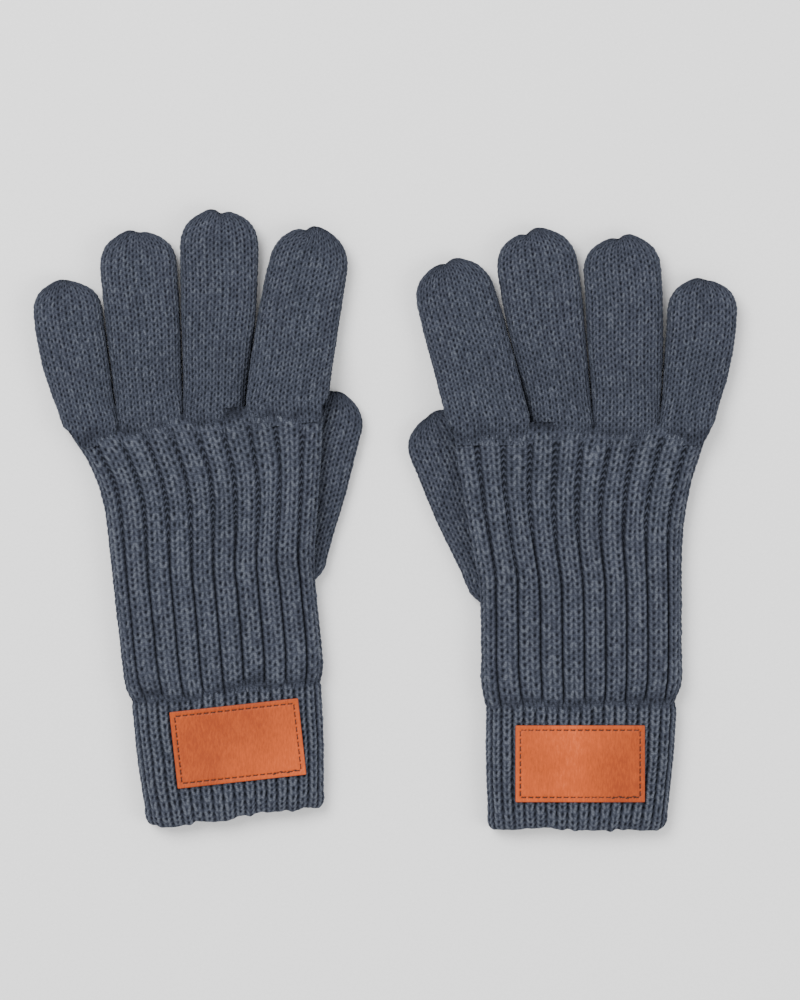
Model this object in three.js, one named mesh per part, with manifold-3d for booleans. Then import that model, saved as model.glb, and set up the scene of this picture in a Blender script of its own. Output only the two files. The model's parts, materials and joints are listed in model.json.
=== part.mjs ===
// A pair of knitted gloves with a leather patch on each cuff, lying flat with their backs up
// and each thumb tucked under the edge of its palm. Millimetres, +Z up, fingers towards +Y.
// Each glove is drawn in a frame of its own: y = 0 is where the cuff joins the hand, +x is the
// thumb's side and z = 0 is the table. The right glove is drawn the same way and mirrored.
import * as THREE from 'three';
import { mergeVertices } from 'three/addons/utils/BufferGeometryUtils.js';
import Module from 'manifold-3d';

const wasm = await Module();
wasm.setup();

// Knitted fabric
const WALL = 1.8; // one layer of knit
const DEPTH = 12; // a finger or the palm lying flat: two layers and the air between them
const JOIN_GAP = 0.35; // where one knitted piece meets the next
const FINGER_GAP = 1.2; // between neighbouring fingers

// Hand: the ribbed body from the wrist to the roots of the fingers
const HAND_LENGTH = 117.5;
const WRIST_WIDTH = 77.6;
const PALM_WIDTH = 83.2;
const HEEL_RISE = 14; // the palm reaches its width this far above the wrist
const THUMB_SIDE = { flare: 72.5, bow: 1.05 }; // where this side widens to the knuckles

// Cuff
const CUFF_LENGTH = 50.4;
const CUFF_TOP_WIDTH = 78.4;
const CUFF_EDGE_WIDTH = 72.4;
const CUFF_EDGE_DEPTH = 10;
const CUFF_EDGE_RISE = 8; // the stretch over which the cuff thins towards its edge

// Fingers, from the thumb's side outwards: width at the root and where each is widest
const FINGERS = {
  index: { root: 34, width: 32.8 },
  middle: { root: 25.5, width: 33.2 },
  ring: { root: 27.5, width: 32 },
  little: { root: 22.5, width: 29.6 },
};
const TIP_ROUND = 0.96; // radius of a fingertip, as a share of half its width
const TIP_SQUARENESS = 2.4; // 2 is a round tip
const TURN_LENGTH = 20; // a finger's sections turn square to its axis over this length

// Thumb: it lies on the table, under the edge of the hand
const THUMB = { root: 28, width: 31, rootAt: 50, depth: 8.6 };
const THUMB_OUT = 2.5; // how far its root stands out from the side of the hand
const OVER_THUMB = 8.4; // depth of the hand where it lies over the thumb
const THUMB_CLEARANCE = 0.4; // above the thumb
const THUMB_SIDE_CLEARANCE = 1; // beside the thumb
const DRAPE = 14; // width of the slope where the hand comes down beside the thumb
const ROOT_DRAPE = 7; // length of the slope on each side of the thumb's root
const INDEX_DRAPE = { from: 5, to: 34 }; // where the index finger comes down to the table

// Leather patch, its stitching and the thread inside the cuff
const PATCH = { width: 53, height: 31.5, thickness: 1.6, corner: 1.2, gap: 0.3 };
const STITCH_INSET = 2; // edge of the patch to the middle of the stitching
const THREAD = 0.6;
const GROOVE_CLEARANCE = 0.3;
const GROOVE_DEPTH = 0.5;

// How each glove lies: place and turn of its wrist, the fingers' lengths, and their lean towards
// the thumb at the root and at the tip, with the lean of the three valleys between them. The
// little finger's side of the hand widens as THUMB_SIDE does, and patchAt is the patch's middle.
const GLOVES = [
  {
    side: 'left',
    mirrored: false,
    place: [-62.8, -70.7],
    turn: 6.3,
    lengths: { thumb: 74, index: 71.5, middle: 81.5, ring: 76, little: 59 },
    leans: { thumb: [20, 22], index: [13.5, 18.5], middle: [6.5, 9], ring: [1.5, 2.8], little: [-3.5, -6] },
    valleys: [13, 4.3, -1],
    littleSide: { flare: 36, bow: 1.8 },
    cuffLean: 2,
    patchAt: [2.8, -20.6],
  },
  {
    side: 'right',
    mirrored: true,
    place: [83, -75.6],
    turn: 0,
    lengths: { thumb: 76.5, index: 67.5, middle: 79.5, ring: 76, little: 58.5 },
    leans: { thumb: [23.5, 23], index: [14.5, 16.5], middle: [9.5, 8], ring: [2, 0.3], little: [-6, -9.5] },
    valleys: [14, 4.2, -3.6],
    littleSide: { flare: 56, bow: 2 },
    cuffLean: -2,
    patchAt: [0.8, -23.6],
  },
];

// Materials
const charcoalKnit = new THREE.MeshStandardMaterial({ color: 0x474d5b, roughness: 0.95 });
const tanLeather = new THREE.MeshStandardMaterial({ color: 0xcc6b47, roughness: 0.55 });
const brownThread = new THREE.MeshStandardMaterial({ color: 0x8a4a2c, roughness: 0.8 });

const radians = THREE.MathUtils.degToRad;
const { lerp, clamp, smoothstep } = THREE.MathUtils;

// ---- Solids ----

// The geometry as one closed solid: shared vertices are merged, and the triangles that a
// closed tip flattens to nothing are dropped.
function solidFrom(geometry) {
  const bare = geometry.clone();
  bare.deleteAttribute('normal');
  bare.deleteAttribute('uv');
  const merged = mergeVertices(bare, 1e-4);
  const corners = merged.index.array;
  const kept = [];
  for (let i = 0; i < corners.length; i += 3) {
    const [a, b, c] = [corners[i], corners[i + 1], corners[i + 2]];
    if (a !== b && b !== c && c !== a) kept.push(a, b, c);
  }
  const mesh = new wasm.Mesh({
    numProp: 3,
    vertProperties: new Float32Array(merged.attributes.position.array),
    triVerts: new Uint32Array(kept),
  });
  return new wasm.Manifold(mesh);
}

function geometryFrom(solid, mirrored) {
  const mesh = solid.getMesh();
  const corners = mesh.triVerts.slice();
  const geometry = new THREE.BufferGeometry();
  geometry.setAttribute('position', new THREE.BufferAttribute(mesh.vertProperties, mesh.numProp));
  if (mirrored) {
    geometry.scale(-1, 1, 1);
    for (let i = 0; i < corners.length; i += 3) {
      [corners[i], corners[i + 1]] = [corners[i + 1], corners[i]];
    }
  }
  geometry.setIndex(new THREE.BufferAttribute(corners, 1));
  geometry.computeVertexNormals();
  return geometry;
}

// A closed tube. place(turn, station, out) gives each vertex its point: turn is the share of
// the way round from the top, and out is 0 at the middle of an end and 1 on the wall.
function tube(sides, stations, place) {
  const rows = stations.length - 1;
  const geometry = new THREE.CylinderGeometry(1, 1, 1, sides, rows);
  const position = geometry.attributes.position;
  for (let i = 0; i < position.count; i++) {
    const [x, y, z] = [position.getX(i), position.getY(i), position.getZ(i)];
    const turn = (Math.atan2(x, z) / (2 * Math.PI) + 1) % 1;
    const out = Math.hypot(x, z) > 0.5 ? 1 : 0;
    position.setXYZ(i, ...place(turn, stations[Math.round((y + 0.5) * rows)], out));
  }
  return solidFrom(geometry);
}

// Stations through the given places, with more between them so that no step is too long
function stationsThrough(places, longest) {
  const sorted = [...places].sort((a, b) => a - b);
  const stations = [sorted[0]];
  for (let i = 1; i < sorted.length; i++) {
    const steps = Math.ceil((sorted[i] - sorted[i - 1]) / longest);
    for (let k = 1; k <= steps; k++) stations.push(lerp(sorted[i - 1], sorted[i], k / steps));
  }
  return stations;
}

// ---- Flat sections of the hand and the cuff ----

const RUN_STEPS = 5; // from the middle of the top or bottom to where the side's round begins
const ROUND_STEPS = 4;
const FLAT_SIDES = 4 * RUN_STEPS + 2 * ROUND_STEPS;

// A point on a flat section with round sides: [x, height share], from the top's middle round
// by the thumb's side. left and right are its half widths, and round is its sides' radius.
function flatSection(turn, left, right, round) {
  const half = FLAT_SIDES / 2;
  const step = Math.round(turn * FLAT_SIDES);
  const onRight = step <= half;
  const way = onRight ? step : FLAT_SIDES - step;
  const reach = (onRight ? right : left) - round;
  const sign = onRight ? 1 : -1;
  if (way <= RUN_STEPS) return [sign * reach * (way / RUN_STEPS), 1];
  if (way >= half - RUN_STEPS) return [sign * reach * ((half - way) / RUN_STEPS), 0];
  const angle = (Math.PI * (way - RUN_STEPS)) / ROUND_STEPS;
  return [sign * (reach + round * Math.sin(angle)), (1 + Math.cos(angle)) / 2];
}

// ---- Hand ----

const knuckleWidth = Object.values(FINGERS).reduce((sum, finger) => sum + finger.root, 0);

function handHalfWidth(y, side) {
  const heel = smoothstep(y, 0, HEEL_RISE);
  const flared = clamp((y - HAND_LENGTH + side.flare) / side.flare, 0, 1) ** side.bow;
  return lerp(WRIST_WIDTH, PALM_WIDTH, heel) / 2 + (flared * (knuckleWidth - PALM_WIDTH)) / 2;
}

const thumbCeiling = THUMB.depth + THUMB_CLEARANCE;
const thumbRootX = handHalfWidth(THUMB.rootAt, THUMB_SIDE) + THUMB_OUT - THUMB.root / 2;

// The plan of the hollow under the hand that the thumb lies in, grown by extra on every side.
// It is open on the thumb's outer side, so that the thumb can swing out of it.
function thumbHollow(thumb, extra) {
  const beside = THUMB_SIDE_CLEARANCE + extra;
  const round = thumb.width / 2;
  const outside = knuckleWidth;
  const start = thumb.rootAt - JOIN_GAP - extra;
  const points = [[outside, start], [thumbRootX - thumb.root / 2 - beside, start]];
  for (const s of stationsThrough([2, thumb.length - round], 8)) {
    const { centre, across } = sectionOf(thumb, s);
    const edge = centre.addScaledVector(across, -freeHalfWidth(thumb, s) - beside);
    points.push([edge.x, edge.y]);
  }
  const { centre, ahead, across } = sectionOf(thumb, thumb.length - round);
  for (const angle of [30, 60, 90].map(radians)) {
    const point = centre.clone();
    point.addScaledVector(ahead, Math.sin(angle) * (round + beside));
    point.addScaledVector(across, -Math.cos(angle) * (round + beside));
    points.push([point.x, point.y]);
  }
  points.push([outside, points.at(-1)[1]]);
  const plan = new THREE.Shape(points.reverse().map(([x, y]) => new THREE.Vector2(x, y)));
  return slab(plan, thumbCeiling + extra + 1, [0, 0], -1);
}

// How far the hand has risen over the thumb at a point, from 0 to 1: underneath it rises beside
// the thumb, and on top it widens towards the knuckles to take in the index finger's root.
function drape(x, y, thumb, onTop) {
  const along = clamp((y - thumb.rootAt) / (thumb.axis.getPoint(1).y - thumb.rootAt), 0, 1);
  const beside = thumb.axis.getPoint(along).x - lerp(thumb.root, thumb.width, along) / 2;
  const indexRoot = knuckleWidth / 2 - FINGERS.index.root - DRAPE / 2;
  const ahead = onTop ? smoothstep(y, HAND_LENGTH - 2 * DRAPE, HAND_LENGTH - DRAPE / 2) : 0;
  const edge = lerp(beside, Math.min(indexRoot, beside), ahead);
  return smoothstep(x, edge - DRAPE / 2, edge + DRAPE / 2);
}

function handBody(littleSide, thumb, inset) {
  const from = inset > 0 ? -1 : 0;
  const to = HAND_LENGTH - JOIN_GAP - inset;
  const stations = stationsThrough(
    [from, HEEL_RISE, THUMB.rootAt - ROOT_DRAPE, THUMB.rootAt - JOIN_GAP,
      THUMB.rootAt + ROOT_DRAPE, to],
    15,
  );
  return tube(FLAT_SIDES, stations, (turn, y, out) => {
    const left = handHalfWidth(y, littleSide) - inset;
    const right = handHalfWidth(y, THUMB_SIDE) - inset;
    const [across, height] = flatSection(turn, left, right, DEPTH / 2 - inset);
    const x = out ? across : 0;
    const risen = clamp((y - THUMB.rootAt + JOIN_GAP) / ROOT_DRAPE, 0, 1);
    const raised = risen * drape(x, y, thumb, false);
    const swell = smoothstep(y, THUMB.rootAt - ROOT_DRAPE, THUMB.rootAt + ROOT_DRAPE);
    const bottom = inset + raised * (thumbCeiling - THUMB_CLEARANCE / 2);
    const lift = swell * drape(x, y, thumb, true);
    const top = DEPTH - inset + lift * (thumbCeiling + OVER_THUMB - DEPTH);
    return [x, y, out ? lerp(bottom, top, height) : (bottom + top) / 2];
  });
}

// ---- Fingers and thumb ----

const FINGER_SIDES = 14;
const SQUARENESS = 2.5; // 2 is an ellipse

// The centre line of a finger from its root, which leans from leans[0] to leans[1] degrees
function fingerAxis(root, length, leans) {
  const [start, end] = leans.map((lean) => new THREE.Vector2(0, 1).rotateAround(
    new THREE.Vector2(),
    -radians(lean),
  ));
  const middle = root.clone().addScaledVector(start, length / 2);
  return new THREE.QuadraticBezierCurve(root, middle, middle.clone().addScaledVector(end, length / 2));
}

// The section of a finger at s from its root: its centre, the way ahead and the way across,
// towards the thumb. It is cut straight across the glove at the root and turns square to the axis.
function sectionOf(shape, s) {
  const share = clamp(s, 0, shape.length) / shape.length;
  const ahead = shape.axis.getTangent(share);
  const square = smoothstep(s, 0, TURN_LENGTH);
  const across = new THREE.Vector2(1, 0).lerp(new THREE.Vector2(ahead.y, -ahead.x), square);
  return { centre: shape.axis.getPoint(share), ahead, across: across.normalize() };
}

function freeHalfWidth(shape, s) {
  return lerp(shape.root, shape.width, smoothstep(s, 0, shape.length * 0.5)) / 2;
}

// A finger or thumb, or with an inset the hollow in it. shape gives its widths and axis, its
// limit to each side, and bed(s), the height that it lies at and its depth, s from the root.
function fingerSolid(shape, inset) {
  const length = shape.length - inset;
  const round = (TIP_ROUND * shape.width) / 2 - inset;
  const behind = inset > 0 ? -(JOIN_GAP + WALL + 1) : 0;
  const stations = stationsThrough([behind, 0, length - round], 8);
  for (const share of [0.45, 0.75, 0.93, 1]) stations.push(length - round + round * share);
  const squared = (value) => Math.sign(value) * Math.abs(value) ** (2 / SQUARENESS);
  return tube(FINGER_SIDES, stations, (turn, s, out) => {
    const { centre, across } = sectionOf(shape, s);
    const { height, depth } = shape.bed(s);
    const angle = 2 * Math.PI * turn;
    const limit = shape.limit(centre, across, Math.sin(angle) >= 0);
    const half = Math.min(freeHalfWidth(shape, s), limit) - inset;
    const past = clamp((s - length + round) / round, 0, 1);
    const closing = out * (1 - past ** TIP_SQUARENESS) ** (1 / TIP_SQUARENESS);
    const reach = closing * half * squared(Math.sin(angle));
    const rise = closing * (depth / 2 - inset) * squared(Math.cos(angle));
    centre.addScaledVector(across, reach);
    return [centre.x, centre.y + Math.min(s, 0), height + depth / 2 + rise];
  });
}

// The line of the valley between two fingers, as a limit on the finger to one side of it
function valleyLimit(root, lean, centre, across) {
  const normal = new THREE.Vector2(Math.cos(radians(lean)), -Math.sin(radians(lean)));
  const distance = Math.abs(centre.clone().sub(root).dot(normal));
  return (distance - FINGER_GAP / 2) / across.dot(normal);
}

function hollowed(shape) {
  const cavity = fingerSolid(shape, WALL);
  return { name: shape.name, solid: fingerSolid(shape, 0).subtract(cavity), cavity };
}

function fingersOf(glove) {
  let edge = knuckleWidth / 2;
  return Object.keys(FINGERS).map((name, i) => {
    const shape = { name, ...FINGERS[name], length: glove.lengths[name] };
    const root = new THREE.Vector2(edge - shape.root / 2, HAND_LENGTH);
    const valleys = [
      { at: new THREE.Vector2(edge, HAND_LENGTH), lean: glove.valleys[i - 1] },
      { at: new THREE.Vector2(edge - shape.root, HAND_LENGTH), lean: glove.valleys[i] },
    ];
    edge -= shape.root;
    shape.axis = fingerAxis(root, shape.length, glove.leans[name]);
    shape.limit = (centre, across, towardsThumb) => {
      const { at, lean } = valleys[towardsThumb ? 0 : 1];
      return lean === undefined ? Infinity : valleyLimit(at, lean, centre, across);
    };
    shape.bed = (s) => {
      const isOverThumb = name === 'index';
      const over = isOverThumb ? 1 - smoothstep(s, INDEX_DRAPE.from, INDEX_DRAPE.to) : 0;
      return { height: over * thumbCeiling, depth: lerp(DEPTH, OVER_THUMB, over) };
    };
    return hollowed(shape);
  });
}

function thumbShape(glove) {
  const root = new THREE.Vector2(thumbRootX, THUMB.rootAt);
  return {
    name: 'thumb',
    ...THUMB,
    length: glove.lengths.thumb,
    axis: fingerAxis(root, glove.lengths.thumb, glove.leans.thumb),
    limit: () => Infinity,
    bed: () => ({ height: 0, depth: THUMB.depth }),
  };
}

function handOf(littleSide, thumb, cavities) {
  const hollow = handBody(littleSide, thumb, WALL).subtract(thumbHollow(thumb, WALL));
  const body = handBody(littleSide, thumb, 0).subtract(thumbHollow(thumb, 0)).subtract(hollow);
  return cavities.reduce((hand, cavity) => hand.subtract(cavity), body);
}

// ---- Cuff ----

function cuffBody(lean, inset) {
  const past = inset > 0 ? 1 : 0;
  const top = -JOIN_GAP + past;
  const bottom = -CUFF_LENGTH - past;
  const stations = stationsThrough([bottom, CUFF_EDGE_RISE - CUFF_LENGTH, top], 22);
  return tube(FLAT_SIDES, stations, (turn, y, out) => {
    const down = clamp(-y / CUFF_LENGTH, 0, 1);
    const half = lerp(CUFF_TOP_WIDTH, CUFF_EDGE_WIDTH, down ** 2) / 2 - inset;
    const thinned = clamp((CUFF_EDGE_RISE - CUFF_LENGTH - y) / CUFF_EDGE_RISE, 0, 1);
    const depth = lerp(DEPTH, CUFF_EDGE_DEPTH, thinned);
    const [across, height] = flatSection(turn, half, half, depth / 2 - inset);
    const x = y * Math.tan(lean) + (out ? across : 0);
    return [x, y, out ? lerp(inset, depth - inset, height) : depth / 2];
  });
}

// ---- Patch and thread ----

function roundedRectangle(width, height, corner) {
  const shape = new THREE.Shape();
  const [x, y] = [width / 2, height / 2];
  shape.absarc(x - corner, y - corner, corner, 0, Math.PI / 2);
  shape.absarc(corner - x, y - corner, corner, Math.PI / 2, Math.PI);
  shape.absarc(corner - x, corner - y, corner, Math.PI, Math.PI * 1.5);
  shape.absarc(x - corner, corner - y, corner, Math.PI * 1.5, Math.PI * 2);
  return shape;
}

// A flat frame of the given band width, centred on the line of the stitching
function stitchFrame(band, depth, [x, y], z) {
  const [width, height] = [PATCH.width - 2 * STITCH_INSET, PATCH.height - 2 * STITCH_INSET];
  const frame = roundedRectangle(width + band, height + band, PATCH.corner + band / 2);
  frame.holes.push(roundedRectangle(width - band, height - band, PATCH.corner - band / 2));
  return slab(frame, depth, [x, y], z);
}

function slab(outline, depth, [x, y], z) {
  const geometry = new THREE.ExtrudeGeometry(outline, { depth, bevelEnabled: false, curveSegments: 3 });
  geometry.translate(x, y, z);
  return solidFrom(geometry);
}

const patchBottom = DEPTH + PATCH.gap;
const grooveFloor = patchBottom + PATCH.thickness - GROOVE_DEPTH;

function patch(at) {
  const outline = roundedRectangle(PATCH.width, PATCH.height, PATCH.corner);
  const groove = stitchFrame(THREAD + 2 * GROOVE_CLEARANCE, GROOVE_DEPTH + 1, at, grooveFloor);
  return slab(outline, PATCH.thickness, at, patchBottom).subtract(groove);
}

function topThread(at) {
  return stitchFrame(THREAD, THREAD, at, grooveFloor + GROOVE_CLEARANCE);
}

function insideThread(at) {
  return stitchFrame(THREAD, THREAD, at, DEPTH - WALL - PATCH.gap - THREAD);
}

// ---- The pair ----

function glovePieces(glove) {
  const shape = thumbShape(glove);
  const thumb = hollowed(shape);
  const fingers = fingersOf(glove);
  const cavities = [thumb, ...fingers].map(({ cavity }) => cavity);
  const lean = radians(glove.cuffLean);
  return [
    ['hand', handOf(glove.littleSide, shape, cavities), charcoalKnit],
    ['cuff', cuffBody(lean, 0).subtract(cuffBody(lean, WALL)), charcoalKnit],
    ['thumb', thumb.solid, charcoalKnit],
    ...fingers.map(({ name, solid }) => [`${name}_finger`, solid, charcoalKnit]),
    ['leather_patch', patch(glove.patchAt), tanLeather],
    ['patch_stitching', topThread(glove.patchAt), brownThread],
    ['patch_thread_inside', insideThread(glove.patchAt), brownThread],
  ];
}

const pair = new THREE.Group();
for (const glove of GLOVES) {
  const group = new THREE.Group();
  for (const [name, solid, material] of glovePieces(glove)) {
    const mesh = new THREE.Mesh(geometryFrom(solid, glove.mirrored), material);
    mesh.name = `${glove.side}_${name}`;
    group.add(mesh);
  }
  group.position.set(...glove.place, 0);
  group.rotation.z = radians(glove.turn);
  pair.add(group);
}

// The origin is under the middle of the pair
pair.updateMatrixWorld(true);
const reach = new THREE.Box3().setFromObject(pair, true);
const middle = reach.getCenter(new THREE.Vector3());
pair.position.set(-middle.x, -middle.y, -reach.min.z);

export default pair;
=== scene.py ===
import json
import math

import bpy
import numpy as np
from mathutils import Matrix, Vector
from mathutils.bvhtree import BVHTree


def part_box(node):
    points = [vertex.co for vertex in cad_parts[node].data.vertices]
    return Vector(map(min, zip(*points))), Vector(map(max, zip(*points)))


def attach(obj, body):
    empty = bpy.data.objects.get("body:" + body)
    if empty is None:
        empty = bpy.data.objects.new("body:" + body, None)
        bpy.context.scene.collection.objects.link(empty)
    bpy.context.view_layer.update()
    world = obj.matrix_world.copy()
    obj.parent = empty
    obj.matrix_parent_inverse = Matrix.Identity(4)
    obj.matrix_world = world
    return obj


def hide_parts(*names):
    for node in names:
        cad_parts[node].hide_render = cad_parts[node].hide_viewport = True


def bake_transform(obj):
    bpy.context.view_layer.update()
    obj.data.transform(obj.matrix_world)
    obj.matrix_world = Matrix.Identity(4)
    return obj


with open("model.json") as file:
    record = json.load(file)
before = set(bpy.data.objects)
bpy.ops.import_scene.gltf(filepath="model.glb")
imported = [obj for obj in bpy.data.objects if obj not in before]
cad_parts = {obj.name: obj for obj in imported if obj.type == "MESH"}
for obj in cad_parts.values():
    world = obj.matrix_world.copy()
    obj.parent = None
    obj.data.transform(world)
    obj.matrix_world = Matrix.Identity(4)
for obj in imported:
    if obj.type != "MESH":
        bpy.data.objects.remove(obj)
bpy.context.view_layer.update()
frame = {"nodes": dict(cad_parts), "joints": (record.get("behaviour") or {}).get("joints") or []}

joints = {joint["name"]: joint for joint in frame["joints"]}


# ---- The ribbed hands ----
# Each hand is one tube of thick charcoal wool, knitted in a rib of two plain wales and one purl
# wale. The ribs close up at the wrist and open towards the knuckles, where the purl wales show
# as dark ladders, their trenches also painted darker as shade. On the thumb's side the tube lies
# over the thumb.

MM = 0.001
RIB_COURSE = 2.75 * MM  # height of one row of loops in the hand
RIBS_ON_BACK = 10
HAND_YARN = 1.2 * MM  # how far the crest of a loop stands above the crease beside it
HAND_TRENCH = 1.6 * MM  # depth of the purl wales between the ribs
WALL = 2.6 * MM  # thickness of the cloth, crests and all
FOLD_READ = 6.5 * MM  # heights are read this far in from a flat tube's sides
FOLD_ROUND = 7.5 * MM  # and its sides are rounded over this far
FULLNESS = 1.2 * MM  # how far the air inside lifts its middle
LEG_FOOT, LEG_HEAD, LEG_HALF = 0.10, 0.42, 0.275  # where a loop's leg runs, in wales
LEG_START, LEG_RUN = -0.25, 1.5  # and in courses, from its own course
# the plain inside of a tube is painted dark, as painted shade inside it
INSIDE_SHADE = 0.3  # relief of the plain inside, for the wool's colour
LIE = 0.05 * MM  # the lowest crest rests this far above the table


def smooth(value, low, high):
    t = np.clip((np.asarray(value, dtype=float) - low) / (high - low), 0, 1)
    return t * t * (3 - 2 * t)


def wander(steps, reach, seed, count=1):
    """A slow random line over whole steps, one for each of count, within about reach."""
    knots = np.random.default_rng(seed).normal(0, 0.5, (count, steps + 3))

    def at(place, which=0):
        place = np.clip(np.asarray(place, dtype=float), 0, steps)
        left = np.floor(place).astype(int)
        t = smooth(place - left, 0, 1)
        return reach * (knots[which, left] * (1 - t) + knots[which, left + 1] * t)
    return at


def node_points(node):
    return np.array([v.co for v in frame["nodes"][node].data.vertices])


def runs_ahead(node, origin, ahead):
    """How far ahead of an origin each point of a node is."""
    return (node_points(node) - np.array(origin)) @ np.array(ahead)


def node_surface(node):
    mesh = frame["nodes"][node].data
    return BVHTree.FromPolygons([v.co.copy() for v in mesh.vertices],
                                [tuple(f.vertices) for f in mesh.polygons])


def side_reach(tree, centre, across, heights):
    """How far a node reaches to its left and right of a point, along across."""
    found = []
    for sign in (-1, 1):
        start = centre + across * (sign * 0.2)
        hits = [tree.ray_cast(Vector((start.x, start.y, z)), across * -sign)[0] for z in heights]
        found.append(sign * max(sign * (hit - centre).dot(across) for hit in hits if hit))
    return found


def height_span(tree, place):
    """The highest and lowest point of a node over a place."""
    above = tree.ray_cast(Vector((place.x, place.y, 0.1)), Vector((0, 0, -1)))[0]
    below = tree.ray_cast(Vector((place.x, place.y, -0.1)), Vector((0, 0, 1)))[0]
    return (above.z, below.z) if above and below else None


def soften(rows, width):
    """Smooths an array along its first axis, and lets it run straight on past its ends."""
    reach = int(math.ceil(width * 2))
    weights = np.exp(-0.5 * (np.arange(-reach, reach + 1) / width) ** 2)
    weights /= weights.sum()
    padded = np.concatenate([2 * rows[:1] - rows[reach:0:-1], rows,
                             2 * rows[-1:] - rows[-2:-reach - 2:-1]])
    return sum(w * padded[i:i + len(rows)] for i, w in enumerate(weights))


def flat_tube(node, glove, start, end):
    """Reads a hand's or cuff's outer form and returns loop(s), its section at s along ahead."""
    origin, across, ahead = glove["origin"], glove["across"], glove["ahead"]
    tree = node_surface(node)
    low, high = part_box(node)
    heights = np.linspace(low.z + 0.0008, high.z - 0.0008, 9)
    stations = np.linspace(start + 0.0004, end - 0.0004, int((end - start) / 0.003) + 1)
    step = stations[1] - stations[0]
    shares = np.linspace(0, 1, 33)
    sides, spans = [], []
    for s in stations:
        centre = origin + ahead * s
        left, right = side_reach(tree, centre, across, heights)
        sides.append((left, right))
        spans.append([height_span(tree, centre + across * (
            left + FOLD_READ + (right - left - 2 * FOLD_READ) * share)) for share in shares])
    lefts, rights = soften(np.array(sides), 1.4).T
    tops, bottoms = (soften(soften(z, 1.6).T, 1.8).T for z in np.moveaxis(np.array(spans), 2, 0))
    turns = np.linspace(0, 1, 121)
    spread = (1 - np.cos(np.pi * turns)) / 2

    def loop(s, inset=0.0):
        place = np.clip((s - stations[0]) / step, 0, len(stations) - 1.001)
        i = int(place)
        t = place - i
        left, right, above, below = (a[i] * (1 - t) + a[i + 1] * t
                                     for a in (lefts, rights, tops, bottoms))
        left, right = left + inset, right - inset
        x = left + (right - left) * spread
        at = (x - left - FOLD_READ) / (right - left - 2 * FOLD_READ)
        top = np.interp(at, shares, above) - inset
        bottom = np.interp(at, shares, below) + inset
        edge = np.clip(np.minimum(x - left, right - x) / FOLD_ROUND, 0, 1)
        opened = np.sqrt(np.clip(1 - (1 - edge) ** 2, 0, 1))
        crown = FULLNESS * (1 - (2 * (x - left) / (right - left) - 1) ** 2) - FULLNESS / 3
        middle, half = (top + bottom) / 2, (top - bottom) / 2
        return (np.stack([x, np.full_like(x, s), middle + half * opened + crown * opened], 1),
                np.stack([x, np.full_like(x, s), middle - half * opened], 1)[::-1])
    return loop


def run_of(points):
    """How far along a line each of its points is."""
    steps = np.linalg.norm(np.diff(points, axis=0), axis=1)
    return np.concatenate([[0], np.cumsum(steps)])


def along_line(points, shares):
    """Points on a line at these shares of its length."""
    run = run_of(points)
    at = np.asarray(shares) * run[-1]
    return np.stack([np.interp(at, run, points[:, k]) for k in range(3)], 1)


def knit_rows(loop, stations, top_shares, bottom_shares):
    """The base surface as rows of points: across the top from the left, then back underneath."""
    rows = []
    for s, above, below in zip(stations, top_shares, bottom_shares):
        top, bottom = loop(s)
        rows.append(np.concatenate([along_line(top, above), along_line(bottom, below)]))
    return np.array(rows)


def outward(rows):
    """Unit normals of rows of points that close on themselves, away from the inside."""
    crosswise = np.roll(rows, -1, 1) - np.roll(rows, 1, 1)
    normal = np.cross(crosswise, np.gradient(rows, axis=0))
    return normal / np.maximum(np.linalg.norm(normal, axis=2, keepdims=True), 1e-12)


def yarn_legs(p, q, seed):
    """The loops' legs at p wales and q courses: height from 0 to 1, and the place on the leg.
    Small holes open inside a loop's V and between the feet of two neighbours."""
    rng = np.random.default_rng(seed)
    uneven = rng.normal(0, 1, (64, 128, 2, 3)).clip(-2, 2)
    wale = np.floor(p + 0.5).astype(int)
    aside = p - wale
    course = np.floor(q).astype(int)
    height = np.zeros(p.shape)
    hole = np.zeros(p.shape)
    leg = np.zeros(p.shape + (3,))
    for k in (-1, 0, 1):
        number = course + k
        own = uneven[wale % 64, number % 128, (aside >= 0).astype(int)]
        t = np.clip((q - number - LEG_START) / LEG_RUN, 0, 1)
        middle = LEG_FOOT + (LEG_HEAD - LEG_FOOT) * t + 0.03 * own[..., 0]
        d = (np.abs(aside) - middle) / (LEG_HALF * (1 + 0.08 * own[..., 1]))
        rise = np.sqrt(np.clip(1 - d * d, 0, 1)) * (1 - 0.45 * np.abs(2 * t - 1.05) ** 2)
        rise = np.clip(rise * (1 + 0.08 * own[..., 2]), 0, 1.2)
        over = rise > height
        height = np.where(over, rise, height)
        place = np.stack([d * np.sign(aside), number + LEG_RUN * t,
                          0.5 + 0.2 * own[..., 0]], -1)
        leg = np.where(over[..., None], place, leg)
        loop = uneven[wale % 64, number % 128, 0]
        inside = 0.85 * np.clip(1 + 0.4 * loop[..., 1], 0.1, 1.6) * np.exp(
            -((aside - 0.05 * loop[..., 0]) / 0.12) ** 2
            - ((q - number - 0.68 - 0.06 * loop[..., 2]) / 0.24) ** 2)
        hole = np.maximum(hole, inside)
        for beside in (-1, 1):
            pair = uneven[(wale + (beside > 0)) % 64, number % 128, 1]
            between = 0.55 * np.clip(1 + 0.55 * pair[..., 1], 0, 1.9) * np.exp(
                -((aside - 0.5 * beside) / 0.11) ** 2
                - ((q - number - 0.42 - 0.06 * pair[..., 2]) / 0.24) ** 2)
            hole = np.maximum(hole, between)
    return height * (1 - 0.8 * np.clip(hole, 0, 1)), leg


def new_object(name, data):
    piece = bpy.data.objects.new(name, data)
    bpy.context.collection.objects.link(piece)
    return piece


def point_map(mesh, name, kind, values):
    """A value or vector for each of a mesh's points, for its material to read."""
    field = "vector" if kind == "FLOAT_VECTOR" else "value"
    layer = mesh.attributes.new(name, kind, "POINT")
    layer.data.foreach_set(field, values.ravel().astype(np.float32))


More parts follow.
